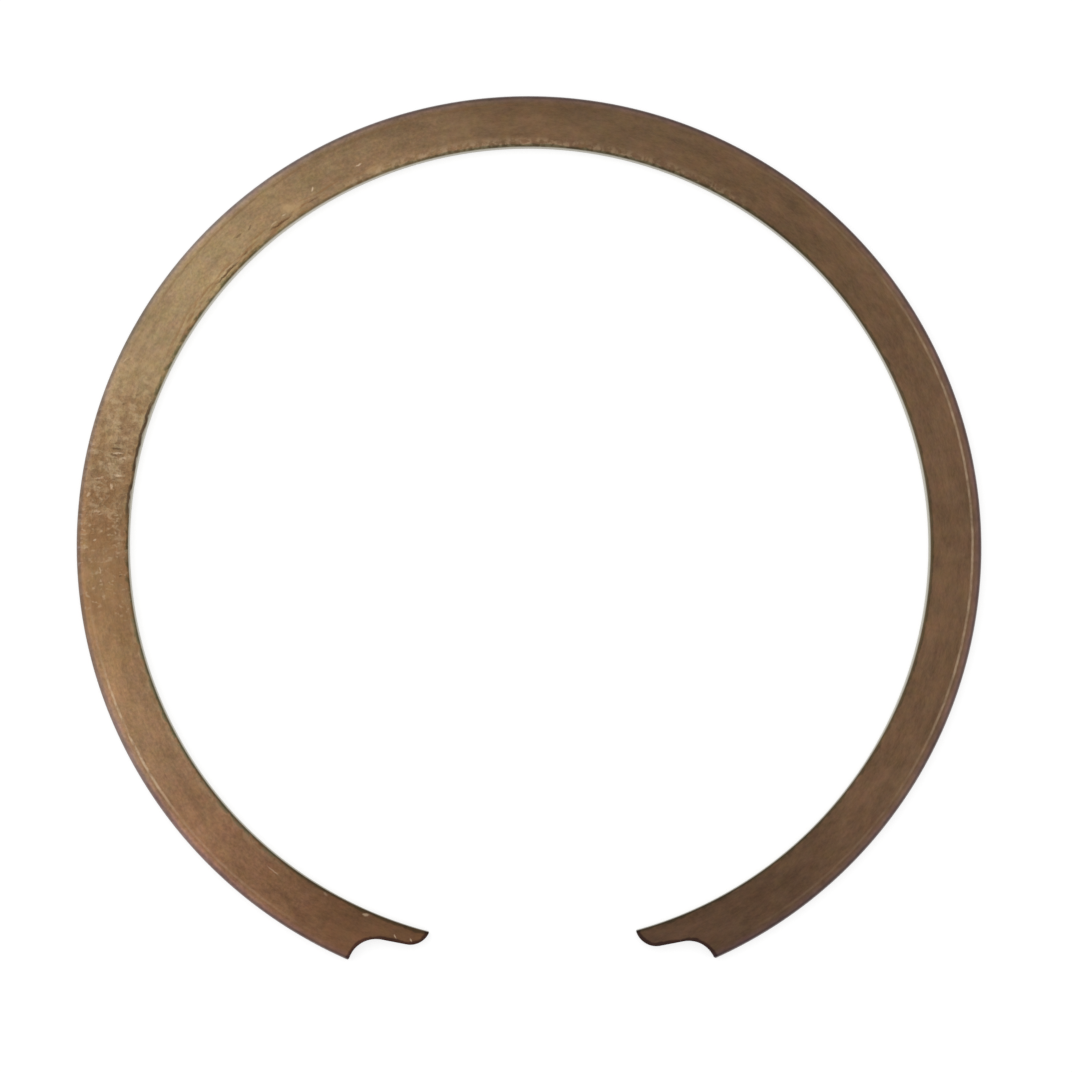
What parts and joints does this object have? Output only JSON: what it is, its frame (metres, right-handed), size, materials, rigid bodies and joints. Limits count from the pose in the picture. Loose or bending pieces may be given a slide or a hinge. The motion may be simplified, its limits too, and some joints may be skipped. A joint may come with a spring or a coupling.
{
  "type": "internal snap ring",
  "caption": "Flat open retaining ring of spring steel wire wound on edge, with a slim finger, a round notch and a pointed horn punched at each end.",
  "frame": {"origin": "centre of the ring's bore, half way up the wire's thickness", "axes": "+Z is the ring's axis and points up as it lies; the gap between the ends faces -Y; +X runs across the ring from one side to the other"},
  "size_m": [0.138, 0.1322, 0.002],
  "materials": {
    "spring_steel": "bronze-brown temper colour, satin, with a fine grain that runs along the wire"
  },
  "bodies": {
    "root": {"snap_ring": "spring_steel"}
  },
  "joints": []
}
